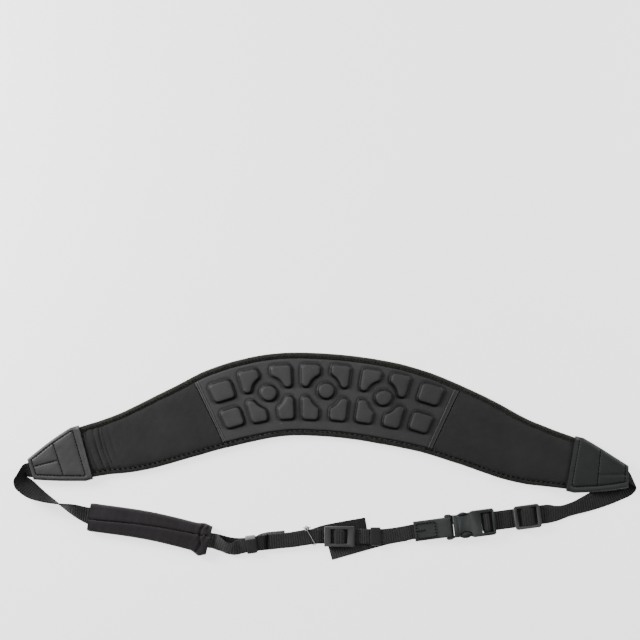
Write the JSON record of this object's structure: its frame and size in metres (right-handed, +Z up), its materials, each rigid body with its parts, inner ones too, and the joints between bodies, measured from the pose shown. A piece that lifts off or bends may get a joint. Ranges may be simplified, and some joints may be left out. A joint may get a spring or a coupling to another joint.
{
  "type": "camera neck strap",
  "caption": "Arched padded camera neck strap with a moulded grip panel, leather end caps, webbing loop, padded sleeve, sliders and a side release buckle, laid flat.",
  "frame": {"origin": "middle of the strap's outline, on the surface it lies on", "axes": "+X along the strap to the right, +Y from the webbing loop to the neck pad, +Z up off the surface"},
  "size_m": [0.4982, 0.1662, 0.016],
  "materials": {
    "pad_fabric": "matte knit over foam",
    "edge_tape": "matte woven tape",
    "moulded_foam": "satin, finely grained",
    "leatherette": "satin, grained",
    "nylon_webbing": "matte ribbed weave",
    "buckle_plastic": "satin",
    "pale_thread": "twisted thread"
  },
  "bodies": {
    "root": {"neoprene_pad": "pad_fabric", "binding_upper": "edge_tape", "binding_lower": "edge_tape", "grip_panel": "moulded_foam", "end_cap_left": "leatherette", "end_cap_right": "leatherette", "webbing_left": "nylon_webbing", "grip_sleeve": "pad_fabric", "lug_webbing_left": "nylon_webbing", "lug_webbing_back": "nylon_webbing", "keeper_left": "leatherette", "thread_tie": "pale_thread", "slider_centre": "buckle_plastic", "lug_webbing_right": "nylon_webbing", "lug_webbing_tail": "nylon_webbing", "keeper_right": "leatherette", "buckle_tab": "leatherette", "buckle_plug": "buckle_plastic", "buckle_socket": "buckle_plastic", "webbing_right": "nylon_webbing", "slider_wide": "buckle_plastic"}
  },
  "joints": []
}
